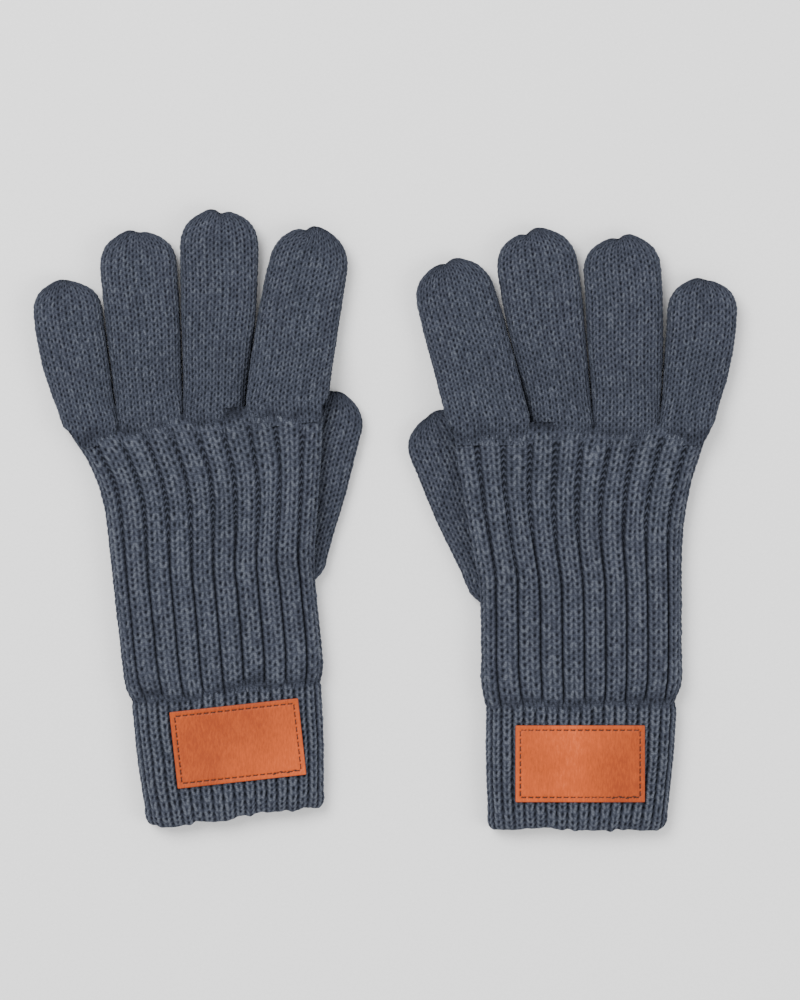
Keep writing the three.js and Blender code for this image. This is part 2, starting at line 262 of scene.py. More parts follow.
def knit_mesh(name, rows, relief, leg, stitch_uv, ring=False):
    """A closed mesh from rows of points, with the maps that the wool's material reads. Its
    ends are closed each with a point in the middle, or joined to each other as a ring."""
    count, columns = rows.shape[:2]
    points = rows.reshape(-1, 3)
    last = count if ring else count - 1
    i = np.arange(last)[:, None]
    j = np.arange(columns)[None, :]
    a = i * columns + j
    b = i * columns + (j + 1) % columns
    above = (i + 1) % count * columns
    faces = np.stack([a, b, above + (j + 1) % columns, above + j], -1).reshape(-1, 4)
    extra, triangles = [], []
    for row, backwards in [] if ring else [(0, True), (count - 1, False)]:
        hub = len(points) + len(extra)
        extra.append(rows[row].mean(0))
        edge = row * columns + np.arange(columns)
        after = np.roll(edge, -1)
        first, second = (after, edge) if backwards else (edge, after)
        triangles.append(np.stack([first, second, np.full(columns, hub)], 1))
    if extra:
        points = np.concatenate([points, np.array(extra)])
    triangles = np.concatenate(triangles) if triangles else np.zeros((0, 3), int)
    mesh = bpy.data.meshes.new(name)
    mesh.vertices.add(len(points))
    mesh.vertices.foreach_set("co", points.ravel())
    corners = np.concatenate([faces.ravel(), triangles.ravel()]).astype(np.int32)
    sizes = np.concatenate([np.full(len(faces), 4), np.full(len(triangles), 3)])
    starts = np.concatenate([[0], np.cumsum(sizes)[:-1]]).astype(np.int32)
    mesh.loops.add(len(corners))
    mesh.loops.foreach_set("vertex_index", corners)
    mesh.polygons.add(len(sizes))
    mesh.polygons.foreach_set("loop_start", starts)
    mesh.update(calc_edges=True)
    mesh.polygons.foreach_set("use_smooth", np.ones(len(sizes), bool))

    def pad(values, fill):
        """The values of the rows' points, and the same value for each point in the middle."""
        values = values.reshape(count * columns, -1)
        return np.concatenate([values, np.full((len(extra), values.shape[1]), fill)])

    # each point's painted shade and light for the wool, low in the creases and high on the
    # crests; the middle points of the closed ends are painted dark
    point_map(mesh, "relief", "FLOAT", pad(relief, 0.2))
    point_map(mesh, "leg", "FLOAT_VECTOR", pad(leg, 0.0))
    at = pad(stitch_uv, 0.0)[corners]
    # a face that crosses the seam keeps one run of numbers
    quads = at[:len(faces) * 4].reshape(-1, 4, 2)[..., 0]
    span = stitch_uv[..., 0].max()
    over = np.ptp(quads, axis=1) > span / 2
    quads[over] += np.where(quads[over] < span / 2, span, 0)
    mesh.uv_layers.new(name="knit").data.foreach_set("uv", at.ravel().astype(np.float32))
    return new_object(name, mesh)


def to_world(rows, origin, across, ahead):
    """Rows of places across, ahead and up from an origin, in the frame. None is below LIE."""
    rows = (np.array(origin)[None, None, :] * [1, 1, 0] + rows[..., :1] * np.array(across)
            + rows[..., 1:2] * np.array(ahead) + rows[..., 2:] * np.array([0, 0, 1.0]))
    rows[..., 2] = np.maximum(rows[..., 2], LIE)
    return rows


def lined_tube(name, glove, inner, rows, relief, leg, run, ring=False):
    """The mesh of a hand's or cuff's outside and of the plain skin inside it. run is how far
    round the tube each column is."""
    extra, columns = inner.shape[:2]
    rows = np.concatenate([inner, rows])
    relief = np.concatenate([np.full((extra, columns), INSIDE_SHADE), relief])
    leg = np.concatenate([np.zeros((extra, columns, 3)), leg])
    u = np.broadcast_to(run / MM, rows.shape[:2])
    v = rows[..., 1] / MM
    v = np.where(np.arange(len(rows))[:, None] < extra, -v, v)
    rows = to_world(rows, glove["origin"], glove["across"], glove["ahead"])
    piece = knit_mesh(name, rows, relief, leg, np.stack([u, v], -1), ring)
    piece.data.materials.append(wool)
    return piece


def linear(colour):
    parts = [int(colour[i:i + 2], 16) / 255 for i in (1, 3, 5)]
    return [c / 12.92 if c <= 0.04045 else ((c + 0.055) / 1.055) ** 2.4 for c in parts] + [1]


def add(tree, kind, settings=None, **links):
    """Adds a node. settings holds its properties, its inputs' values and a ramp's stops. links
    holds what its inputs read, by name or as i and a number; a node means its first output."""
    node = tree.nodes.new("ShaderNode" + kind)
    for key, value in (settings or {}).items():
        if key == "stops":
            for _ in value[2:]:
                node.color_ramp.elements.new(0.5)
            for element, (place, colour) in zip(node.color_ramp.elements, value):
                element.position = place
                element.color = linear(colour)
        elif isinstance(key, str) and hasattr(node, key):
            setattr(node, key, value)
        else:
            node.inputs[key].default_value = value
    for key, source in links.items():
        socket = node.inputs[int(key[1:]) if key[1:].isdigit() else key.replace("_", " ")]
        tree.links.new(getattr(source, "outputs", [source])[0], socket)
    return node


def new_material(name):
    material = bpy.data.materials.new(name)
    material.use_nodes = True
    material.node_tree.nodes.clear()
    return material, material.node_tree


# painted shade and light: the crease, side and crest colours stand in for shade in the creases
# and light on the crests of the loops
WOOL_CREASE_SHADE, WOOL_SIDE_SHADE, WOOL_BODY, WOOL_CREST_LIGHT = "#0c0e13", "#252831", "#3b3f4a", "#52565f"
PLIES_A_LOOP = 3


def twist(tree, slant, turns):
    """The plies of a twisted yarn, from 0 in a groove to 1 on a ply."""
    turn = add(tree, "Math", {"operation": "MULTIPLY", 1: 2 * math.pi * turns}, i0=slant)
    wave = add(tree, "Math", {"operation": "SINE"}, i0=turn)
    return add(tree, "Math", {"operation": "MULTIPLY_ADD", 1: 0.5, 2: 0.5}, i0=wave)


def wool_material():
    """Charcoal blue wool, spun in plies and knitted: matt and slightly hairy. The creases
    between the loops are painted dark and the crests painted light, as painted shade and light
    from the knitting's relief; single fibres fleck it lighter and darker."""
    material, tree = new_material("knitted_charcoal_wool")
    relief = add(tree, "Attribute", {"attribute_name": "relief"}).outputs["Fac"]
    leg = add(tree, "Attribute", {"attribute_name": "leg"}).outputs["Vector"]
    knit = add(tree, "UVMap", {"uv_map": "knit"})
    # the knit map is in millimetres; loose fibres, 0.4 mm apart and drawn out along the wales
    drawn = add(tree, "Mapping", {"Scale": (1.0, 0.45, 1.0)}, Vector=knit)
    fibre = add(tree, "TexNoise", {"Scale": 2.6, "Detail": 4.0, "Roughness": 0.7},
                Vector=drawn)
    # the dye takes unevenly over 20 mm
    dye = add(tree, "TexNoise", {"Scale": 0.05, "Detail": 2.0}, Vector=knit)
    # the plies slant across the yarn
    parts = add(tree, "SeparateXYZ", i0=leg)
    slant = add(tree, "Math", {"operation": "MULTIPLY_ADD", 1: 0.16},
                i0=parts, i2=parts.outputs[1])
    ply = twist(tree, slant, PLIES_A_LOOP)
    # painted shade and light: the relief value paints the creases dark and the crests light
    body = add(tree, "ValToRGB",
               {"stops": [(0.05, WOOL_CREASE_SHADE), (0.42, WOOL_SIDE_SHADE), (0.76, WOOL_BODY),
                          (1.0, WOOL_CREST_LIGHT)]}, i0=relief)
    light = add(tree, "MapRange", {"From Min": 0.35, "From Max": 0.72,
                                             "To Min": 0.68, "To Max": 1.4}, i0=fibre)
    # painted shade: the grooves between the plies are darker
    ply_shade = add(tree, "MapRange", {"To Min": 0.86, "To Max": 1.1}, i0=ply)
    patchy = add(tree, "MapRange", {"From Min": 0.3, "From Max": 0.7,
                                              "To Min": 0.94, "To Max": 1.07}, i0=dye)
    tone = add(tree, "Math", {"operation": "MULTIPLY"}, i0=light, i1=ply_shade)
    tone = add(tree, "Math", {"operation": "MULTIPLY"}, i0=tone, i1=patchy)
    colour = add(tree, "VectorMath", {"operation": "SCALE"}, i0=body, Scale=tone)
    rough = add(tree, "Math", {"operation": "MULTIPLY_ADD", 1: 0.5, 2: 0.5}, i0=ply)
    raised = add(tree, "Math", {"operation": "ADD"}, i0=fibre, i1=rough)
    bump = add(tree, "Bump", {"Strength": 0.55, "Distance": 0.28 * MM}, Height=raised)
    shader = add(tree, "BsdfPrincipled",
                 {"Roughness": 0.92, "Specular IOR Level": 0.10, "Sheen Weight": 0.08,
                  "Sheen Roughness": 0.45, "Sheen Tint": linear("#a9b4cc")},
                 Base_Color=colour, Normal=bump)
    add(tree, "OutputMaterial", Surface=shader)
    return material


wool = wool_material()

gloves = {}
for side in ("left", "right"):
    fold = joints[f"{side}_cuff_fold"]
    across = -Vector(fold["axis"])
    ahead = Vector((-across.y, across.x, 0))
    origin = Vector(fold["pos_m"])
    origin.z = 0
    gloves[side] = dict(across=across, ahead=ahead, origin=origin)

LEG_COLUMNS, PURL_COLUMNS = 18, 7  # columns of faces over a rib's two wales, and its purl
UNDER_COLUMNS = 10  # over a whole rib on the palm side
UNDER_OPENING = 0.12  # the purl wale's share of a rib there
BAND = 9 * MM  # plain knitting between the ribs and the fingers
BAND_OPENING = 0.31  # the third wale's share of a rib there
ROWS_A_COURSE = 6  # rows of faces


def rib_shares(ribs, opening, drift, leg_columns, purl_columns):
    """Columns for one row of ribs: their shares of the width, and the place within each rib."""
    shares, places = [], []
    legs = np.arange(leg_columns) / leg_columns
    purl = np.arange(purl_columns) / purl_columns
    for rib in range(ribs):
        first, last = rib + opening[rib] / 2, rib + 1 - opening[rib] / 2
        after = rib + 1 + opening[rib + 1] / 2 if rib + 1 < ribs else ribs
        shares.append((first + legs * (last - first)) / ribs)
        shares.append((last + purl * (after - last)) / ribs)
        places.append(legs)
        places.append(1 + purl)
    shares = np.concatenate(shares)
    shares = shares + drift * np.sin(np.pi * shares)
    return shares, np.concatenate(places)


def rib_grids(ribs, places, under_places, shape):
    """For every point, the number of its rib, on the back and then below, and its place."""
    numbers = [(np.arange(ribs) + first).repeat(len(part) // ribs)
               for first, part in ((0, places), (ribs, under_places))]
    return (np.broadcast_to(np.concatenate(parts), shape)
            for parts in (numbers, (places, under_places)))


for number, (side, glove) in enumerate(gloves.items()):
    node = f"{side}_hand"
    length = float(runs_ahead(node, glove["origin"], glove["ahead"]).max())
    loop = flat_tube(node, glove, 0.0, length)
    glove["length"], glove["loop"] = length, loop
    # where each column runs: the ribs open towards the knuckles, up to the plain band
    rows_out = int(length / RIB_COURSE * ROWS_A_COURSE)
    s_out = np.linspace(0.0, length, rows_out + 1)
    open_noise = wander(9, 0.06, 11 + number, RIBS_ON_BACK)
    drift_noise = wander(3, 0.030, 31 + number)
    top_shares = []
    ribs = np.arange(RIBS_ON_BACK)
    openness = np.zeros((len(s_out), RIBS_ON_BACK))
    for i, s in enumerate(s_out):
        share = s / length
        knuckle = smooth(share, 0.30, 0.88)
        opening = np.clip(0.045 + 0.135 * knuckle + open_noise(share * 9, ribs)
                          * (0.5 + 1.3 * knuckle), 0.030, 0.26)
        plain = smooth(s, length - BAND - 0.003, length - BAND + 0.004)
        opening = opening + (BAND_OPENING - opening) * plain
        openness[i] = opening
        drift = float(drift_noise(share * 3))
        shares, places = rib_shares(RIBS_ON_BACK, opening, drift, LEG_COLUMNS, PURL_COLUMNS)
        top_shares.append(shares)
    below, under_places = rib_shares(RIBS_ON_BACK, np.full(RIBS_ON_BACK, UNDER_OPENING), 0.0,
                                     UNDER_COLUMNS - 2, 2)
    base = knit_rows(loop, s_out, top_shares, [below] * len(s_out))
    rib_grid, place = rib_grids(RIBS_ON_BACK, places, under_places, base.shape[:2])
    normals = outward(base)
    s_grid = base[..., 1]
    # the cloth dips to the wrist after a slight swell, and its lip turns in
    turned = np.clip((0.0015 - s_grid) / 0.0015, 0, 1)
    gather = s_grid + wander(20, 0.0030, 93 + number)(rib_grid)
    curl = (0.0009 * (1 - smooth(gather, 0.0005, 0.0065))
            + WALL / 2 * (1 - np.sqrt(1 - turned ** 2))
            - 0.0008 * np.exp(-((gather - 0.010) / 0.005) ** 2))
    # each rib stops a little sooner or later, where the plain band before the fingers starts
    stop = wander(10, 0.0036, 61 + number)(rib_grid % RIBS_ON_BACK + place / 2)
    closing = smooth(s_grid + stop, length - 0.0085, length + 0.0005)
    # the cloth's rise and fall: two plain wales, then the purl wale's trench with its bumps, and
    # from it the painted shade and light
    slip = wander(12, 0.5, 51 + number, 30)
    q = s_grid / RIB_COURSE + slip(s_grid / length * 12, rib_grid)
    p = np.where(place < 1, place * 2 - 0.5, place + 0.5) + rib_grid * 3
    on_purl = place >= 1
    height, leg = yarn_legs(p, q, 71 + number)
    crown = np.where(on_purl, 0, 1 - np.abs(2 * place - 1) ** 5)
    purl_place = np.where(on_purl, place - 1, 0)
    purl_bump = 0.5 + 0.5 * np.cos(2 * np.pi * (q + 0.9 * np.abs(purl_place - 0.5)))
    band = smooth(s_grid + stop, length - BAND - 0.002, length - BAND + 0.003)
    under = np.full((len(s_out), RIBS_ON_BACK * UNDER_COLUMNS), UNDER_OPENING)
    open_grid = np.hstack([np.repeat(openness, LEG_COLUMNS + PURL_COLUMNS, axis=1), under])
    opened = smooth(open_grid, 0.05, 0.14)
    trench = HAND_TRENCH * (1.1 - 0.3 * opened)
    floor = -trench + 0.0010 * purl_bump * (0.45 + 0.55 * opened)
    knitted = HAND_YARN * (height - 1)
    ribbed = np.where(on_purl, floor - 0.0004, knitted - 0.32 * trench * (1 - crown))
    offset = ribbed * (1 - band) + knitted * band + 0.0004
    # painted shade and light: the purl trench is darker with its bumps lighter, and the crowns
    # of the ribs are lighter
    purled = 0.16 + 0.62 * purl_bump * (0.4 + 0.6 * opened)
    shade_tone = np.where(on_purl, purled, height * (0.7 + 0.3 * crown)) * (1 - band) + height * band
    # painted shade where the hand closes under the fingers, and in the fold near the wrist
    shade_tone = shade_tone * (1 - 0.55 * closing) * (1 - 0.3 * np.exp(-((gather - 0.0030) / 0.0022) ** 2))
    rows = base + normals * (offset - curl)[..., None]
    lip = wander(14, 0.0022, 91 + number)((rib_grid + place / 2) * 14 / (2 * RIBS_ON_BACK))
    rows[..., 1] += lip * (1 - smooth(s_grid, 0.001, 0.012))
    # the end at the knuckles closes under the fingers
    sink = 0.0007 * smooth(s_grid, length - 0.022, length - 0.008) + 0.0022 * closing
    rows[..., 2] -= sink * np.clip(1.5 * normals[..., 2], -1, 1)
    middle_x = (rows[..., 0].max(1) + rows[..., 0].min(1))[:, None] / 2
    rows[..., 0] = middle_x + (rows[..., 0] - middle_x) * (1 - 0.005 * closing)
    s_in = np.linspace(length - 0.008, 0.0012, 14)
    inner = knit_rows(lambda s: loop(s, WALL), s_in, top_shares[:1] * 14, [below] * 14)
    hand = lined_tube(f"{side}_hand_knit", glove, inner, rows, shade_tone, leg,
                      run_of(base[rows_out // 2]))
    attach(hand, f"{side}_palm")
    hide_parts(node)


# ---- The fingers and thumbs ----
# Each is a narrow tube in plain stockinette, worked from its own opening in the hand and drawn
# together at the tip, which leaves a small notch. The thumb lies under the edge of the hand.

WALE = 3.05 * MM  # width of one column of loops
COURSE = 2.36 * MM  # height of one row of loops
FINGER_YARN = 1.05 * MM  # how far a loop's crest stands above its crease
TIP_SQUARENESS = 2.3  # 2 is an ellipse, and more is squarer
SECTION_SQUARENESS = 2.7
ROOT_SQUARENESS = 4.6  # flatter where it leaves the hand
FULLER = 0.45 * MM  # spreads the root until it meets its neighbour
TOP_COLUMNS, BOTTOM_COLUMNS = 8, 4  # faces to a wale, on the back and underneath
COURSE_ROWS = 7  # faces to a course
FINGER_BACK, THUMB_BACK = 10 * MM, 6 * MM  # how far each runs back inside the hand
FINGER_TUCK, THUMB_TUCK = 0.8 * MM, 3.5 * MM  # and how much narrower it is there
FINGER_READ, THUMB_READ = 6 * MM, 16 * MM  # where its sides are first read
TIP = 16 * MM  # length of tip with closer rows


def finger_tube(node, origin, across, ahead, first, tuck):
    """Reads a finger's form and returns its length and loop(s)."""
    tree = node_surface(node)
    reach = float(runs_ahead(node, origin, ahead).max())
    low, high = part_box(node)
    heights = np.linspace(low.z + 0.001, high.z - 0.001, 9)
    stations = np.arange(first, reach - 0.017, 0.002)
    sides = np.array([side_reach(tree, origin + ahead * s, across, heights) for s in stations])
    middle = np.polyfit(stations, sides.mean(1), 2)
    half = soften((sides[:, 1] - sides[:, 0]) / 2, 1.5)
    spans = soften(np.array([
        height_span(tree, origin + ahead * s + across * float(np.polyval(middle, s)))
        for s in stations]), 1.5)
    tip_round = 0.96 * half[-1]
    lean_at = lambda s: math.atan(float(np.polyval(np.polyder(middle), max(s, 0.0))))
    reach -= tip_round * (1 - math.cos(lean_at(reach)))
    turns = np.linspace(0, np.pi, 81)

    def loop(s):
        square = (ROOT_SQUARENESS
                  + (SECTION_SQUARENESS - ROOT_SQUARENESS) * smooth(s, -0.005, 0.012))
        past = np.clip((s - reach + tip_round) / tip_round, 0, 1)
        shut = (1 - past ** TIP_SQUARENESS) ** (1 / TIP_SQUARENESS)
        wide = (np.interp(s, stations, half) + FULLER * (1 - 0.7 * smooth(s, 0.030, 0.060))
                - tuck * (1 - smooth(s, -0.006, 0.004)))
        top = np.interp(s, stations, spans[:, 0])
        bottom = np.interp(s, stations, spans[:, 1])
        deep = (top - bottom) / 2 * (1 - 0.15 * (1 - smooth(s, -0.011, -0.003)))
        centre = float(np.polyval(middle, max(s, 0.0)))
        x = -np.cos(turns)
        x = np.sign(x) * np.abs(x) ** (2 / square)
        z = np.sin(turns) ** (2 / square)
        # the rows turn square to the finger's own axis as they leave the hand
        lean, turned = lean_at(s), smooth(s, 0.0, 0.030)
        aside = wide * shut * x
        above, below = (np.stack([centre + aside * (1 - turned * math.sin(lean) ** 2),
                                  s - aside * turned * math.sin(lean) * math.cos(lean),
                                  (top + bottom) / 2 + sign * deep * shut * z], 1)
                        for sign in (1, -1))
        return above, below[::-1]
    return reach, loop


def knit_finger(name, node, origin, across, ahead, first, back, seed, tuck, hand=None):
    """Knits a finger or thumb that starts back behind its origin. hand is the glove whose
    outline its root stays inside."""
    reach, loop = finger_tube(node, origin, across, ahead, first, tuck)
    # stations at equal steps along the cloth, so that the rows stay even over the tip
    rough = np.concatenate([np.linspace(-back, reach - TIP, 60)[:-1],
                            reach - TIP * (1 - np.linspace(0, 1, 90)) ** 1.8])
    shares = np.linspace(0, 1, 25)[:-1]
    coarse = knit_rows(loop, rough, [shares] * len(rough), [shares] * len(rough))
    steps = np.linalg.norm(np.diff(coarse, axis=0), axis=2).mean(1)
    length = np.concatenate([[0], np.cumsum(steps)])
    courses = int(round(length[-1] / COURSE))
    marks = np.linspace(0, length[-1] - 0.0007, courses * COURSE_ROWS + 1)
    stations = np.interp(marks, length, rough)
    wales = int(round(run_of(loop(reach * 0.5)[0])[-1] / WALE))
    top = np.arange(wales * TOP_COLUMNS) / (wales * TOP_COLUMNS)
    bottom = np.arange(wales * BOTTOM_COLUMNS) / (wales * BOTTOM_COLUMNS)
    base = knit_rows(loop, stations, [top] * len(stations), [bottom] * len(stations))
    normals = outward(base)
    q = np.broadcast_to((marks / COURSE)[:, None], base.shape[:2])
    p_line = np.concatenate([top * wales, wales + bottom * wales])
    p = np.broadcast_to(p_line, base.shape[:2]) + 0.5
    # rows and wales wander a little, as worn knitting does
    q = q + wander(8, 0.35, seed)(p / (2 * wales) * 8) + 0.25 * np.sin(p * 0.9 + q * 0.13 + seed)
    p = p + 0.10 * np.sin(q * 0.35 + seed * 1.7)
    height, leg = yarn_legs(p, q, seed + 100)
    width = np.linalg.norm(np.roll(base, -1, 1) - base, axis=2)
    nominal = np.concatenate([np.full(len(top), WALE / TOP_COLUMNS),
                              np.full(len(bottom), WALE / BOTTOM_COLUMNS)])
    # where the cloth is drawn together, its loops are flatter
    tight = soften(soften(np.clip(width / nominal, 0, 1), 3), 3)
    offset = FINGER_YARN * tight * (height - 1) + 0.00035
    # the drawn-in tip: a notch beside the middle, one lobe fuller than the other, and pleats
    tail = smooth(base[..., 1], reach - 0.011, reach - 0.001)
    x_rel = base[..., 0] - float(np.mean(loop(reach - 0.004)[0][:, 0]))
    lean = 1 if (seed * 7 // 3) % 2 else -1
    notch_at = lean * (0.0018 + 0.0012 * math.sin(seed * 2.3))
    deep = 0.0010 + 0.0007 * math.sin(seed * 5.1)
    pull = (deep * np.exp(-np.abs((x_rel - notch_at) / 0.0019) ** 1.7)
            + 0.0006 * smooth((x_rel - notch_at) * lean, -0.0014, 0.0040)
            - 0.0004 * np.exp(-((x_rel - notch_at + lean * 0.0048) / 0.0032) ** 2))
    base[..., 1] -= pull * tail
    drawn = smooth(marks, length[-1] - 0.008, length[-1] - 0.002)[:, None]
    pleat = 0.0004 * np.cos(2 * np.pi * p / 2) * drawn
    rows = base + normals * (offset + pleat)[..., None]
    # painted shade: it is darker in the hollow where it meets the hand
    root_shade = np.exp(-((base[..., 1] + 0.0062 + 0.0015 * np.sin(p * 1.3 + seed)) / 0.0024) ** 2)
    relief = (height * (0.59 + 0.33 * tight)) * (1 - 0.2 * root_shade)
    u = np.broadcast_to(p_line * WALE / MM, base.shape[:2])
    v = np.broadcast_to((marks / MM)[:, None], base.shape[:2])
    rows = to_world(rows, origin, across, ahead)
    if hand:
        # the root keeps inside the outline of the hand that it is knitted on to
        level = np.linspace(hand["length"] - 0.016, hand["length"], 9)
        ends = np.array([hand["loop"](at)[0][[0, -1], 0] for at in level])
        away = rows - np.array(hand["origin"])
        x, at = away @ np.array(hand["across"]), away @ np.array(hand["ahead"])
        room = -0.0009 + 0.0024 * smooth(hand["length"] - at, -0.0010, 0.0045)
        left, right = (np.interp(at, level, ends[:, k]) for k in (0, 1))
        kept = np.where(at < hand["length"] + 0.001, np.clip(x, left + room, right - room), x)
        rows = rows + (kept - x)[..., None] * np.array(hand["across"])
    piece = knit_mesh(name, rows, relief, leg, np.stack([u, v], -1))
    piece.data.materials.append(wool)
    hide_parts(node)
    return piece


for number, (side, glove) in enumerate(gloves.items()):
    for k, finger in enumerate(("index", "middle", "ring", "little")):
        lift = joints[f"{side}_{finger}_lift"]
        across = Vector(lift["axis"])
        ahead = Vector((-across.y, across.x, 0))
        origin = Vector((lift["pos_m"][0], lift["pos_m"][1], 0))
        piece = knit_finger(f"{side}_{finger}_finger_knit", f"{side}_{finger}_finger",
                            origin, across, ahead, FINGER_READ, FINGER_BACK,
                            200 + 10 * number + k, FINGER_TUCK, hand=glove)
        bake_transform(piece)
    # the thumb runs from the middle of its root to the middle of its far end
    node = f"{side}_thumb"
    corners = node_points(node)
    runs = corners @ np.array(glove["ahead"])
    ends = corners[runs < runs.min() + 0.0004] @ np.array(glove["across"])
    origin = (glove["across"] * float((ends.max() + ends.min()) / 2)
              + glove["ahead"] * float(runs.min()))
    origin.z = 0
    ahead = Vector(corners[runs > runs.max() - 0.03].mean(0)) - origin
    ahead.z = 0
    ahead.normalize()
    across = Vector((ahead.y, -ahead.x, 0))
    piece = knit_finger(f"{side}_thumb_knit", node, origin, across, ahead, THUMB_READ,
                        THUMB_BACK, 240 + number, THUMB_TUCK)
    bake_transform(piece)


# ---- The cuffs ----
# Each cuff is knitted on at the wrist in a finer rib, one plain wale and one purl, pulled in so
# that the purl wales are only dark lines. Its cast-on edge is thicker, uneven and a little wavy.

CUFF_RIBS = 18
CUFF_COURSE = 2.7 * MM
CUFF_YARN = 1.0 * MM
CUFF_TRENCH = 1.5 * MM
CUFF_LEGS, CUFF_PURL, CUFF_UNDER = 11, 3, 7  # faces over a wale, a purl, and a rib below
CUFF_ROWS = 7  # faces to a course
CUFF_WALL = 2.2 * MM
TUCKED = 6.5 * MM  # how far its top runs up inside the hand

for number, (side, glove) in enumerate(gloves.items()):
    node = f"{side}_cuff"
    runs = runs_ahead(node, glove["origin"], glove["ahead"])
    bottom, top = float(runs.min()), float(runs.max())
    loop = flat_tube(node, glove, bottom, top)
    count = int((TUCKED - bottom) / CUFF_COURSE * CUFF_ROWS)
    s_out = np.linspace(bottom, TUCKED, count + 1)
    ribs = np.arange(CUFF_RIBS)
    drift_noise = wander(6, 0.010, 331 + number)
    wide_noise = wander(6, 0.05, 341 + number, CUFF_RIBS)
    top_shares = []
    for s in s_out:
        share = (s - bottom) / (TUCKED - bottom)
        opening = np.clip(0.12 + wide_noise(share * 6, ribs), 0.06, 0.24)
        shares, places = rib_shares(CUFF_RIBS, opening, float(drift_noise(share * 6)),
                                    CUFF_LEGS, CUFF_PURL)
        top_shares.append(shares)
    below, under_places = rib_shares(CUFF_RIBS, np.full(CUFF_RIBS, 0.15), 0.0, CUFF_UNDER - 2, 2)
    base = knit_rows(loop, s_out, top_shares, [below] * len(s_out))
    normals = outward(base)
    rib_grid, place = rib_grids(CUFF_RIBS, places, under_places, base.shape[:2])
    s_grid = base[..., 1]
    up = s_grid - bottom
    slip = wander(8, 0.5, 351 + number, 40)
    dense = 1 + 0.28 * (1 - smooth(up, 0.003, 0.010))
    q = up / CUFF_COURSE * dense + slip(up / (TUCKED - bottom) * 8, rib_grid)
    on_purl = place >= 1
    p = np.where(on_purl, 0.5, place - 0.5) + rib_grid * 2
    height, leg = yarn_legs(p, q, 371 + number)
    crown = np.where(on_purl, 0, 1 - np.abs(2 * place - 1) ** 3)
    bumps = 0.5 + 0.5 * np.cos(2 * np.pi * q)
    edge = 1 - smooth(up, 0.002, 0.009)
    trench = CUFF_TRENCH * (1 - 0.45 * edge)
    offset = np.where(on_purl, -trench + 0.0006 * bumps - 0.0004,
                      -0.4 * trench * (1 - crown) + CUFF_YARN * (height - 1)) + 0.0003
    # painted shade and light: the purl wales are darker, and the crowns of the ribs lighter
    shade_tone = np.where(on_purl, 0.22 + 0.36 * bumps, height * (0.84 + 0.24 * crown))
    # the tucked top slips under the hand, the lip at the cast-on edge turns in
    gather = s_grid + wander(20, 0.0016, 393 + number)(rib_grid * 20 / (2 * CUFF_RIBS))
    tucked = 0.0014 * smooth(gather, -0.0005, 0.0060)
    turned = np.clip((0.0022 - up) / 0.0022, 0, 1)
    curl = (0.0012 * (1 - np.sqrt(1 - turned ** 2))
            - 0.0005 * np.exp(-((up - 0.004) / 0.003) ** 2))
    rows = base + normals * (offset * (1 - turned) - curl - tucked)[..., None]
    # the cast-on edge waves, and its corners are drawn up a little
    x_share = np.concatenate([top_shares[0], 1 - below])
    wave = (wander(7, 0.0018, 381 + number)(x_share * 7)
            + wander(31, 0.0007, 391 + number)(x_share * 31)
            + 0.0003 * (np.abs(2 * x_share - 1) ** 12))
    rows[..., 1] += wave[None, :] * (1 - smooth(up, 0.001, 0.014))
    # painted shade where the tucked top runs under the hand
    shade_tone = shade_tone * (1 - 0.4 * smooth(gather, -0.001, 0.004))
    s_in = np.linspace(TUCKED, bottom + 0.0012, 12)
    inner = knit_rows(lambda s: loop(s, CUFF_WALL), s_in, top_shares[:1] * 12, [below] * 12)
    inner[..., 1] += wave[None, :] * (1 - smooth(inner[..., 1] - bottom, 0.001, 0.012))
    cuff = lined_tube(f"{side}_cuff_knit", glove, inner, rows, shade_tone, leg,
                      run_of(base[count // 2]), ring=True)
    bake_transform(cuff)
    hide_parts(node)


# ---- The leather patches ----
# A blank rectangle of smooth tan leather with cut edges, sewn to the back of each cuff. The row
# of sewing presses a shallow channel into it, with a hole at the end of every stitch.

PATCH_LONG, PATCH_HIGH = 53 * MM, 31.5 * MM
PATCH_THICK = 1.6 * MM
PATCH_CORNER = 0.5 * MM  # radius of its corners, as seen from above
PATCH_EDGE = 0.3 * MM  # how far the wear of the cut edge reaches in
PATCH_AHEAD = 0.9 * MM  # it sits this much nearer the fingers than its solid
SEWN_IN = 2.0 * MM  # from the cut edge to the sewing
STITCH = 2.9 * MM
STITCH_STARTS = 0.23  # the part of a stitch's length at each end in a hole
CELL = 0.27 * MM  # faces of the patch


def finish_faces(angle):
    """Turns the active piece's faces outwards, and shades it smooth up to this angle."""
    bpy.ops.object.mode_set(mode="EDIT")
    bpy.ops.mesh.select_all(action="SELECT")
    bpy.ops.mesh.normals_make_consistent(inside=False)
    bpy.ops.object.mode_set(mode="OBJECT")
    bpy.ops.object.shade_smooth_by_angle(angle=math.radians(angle))


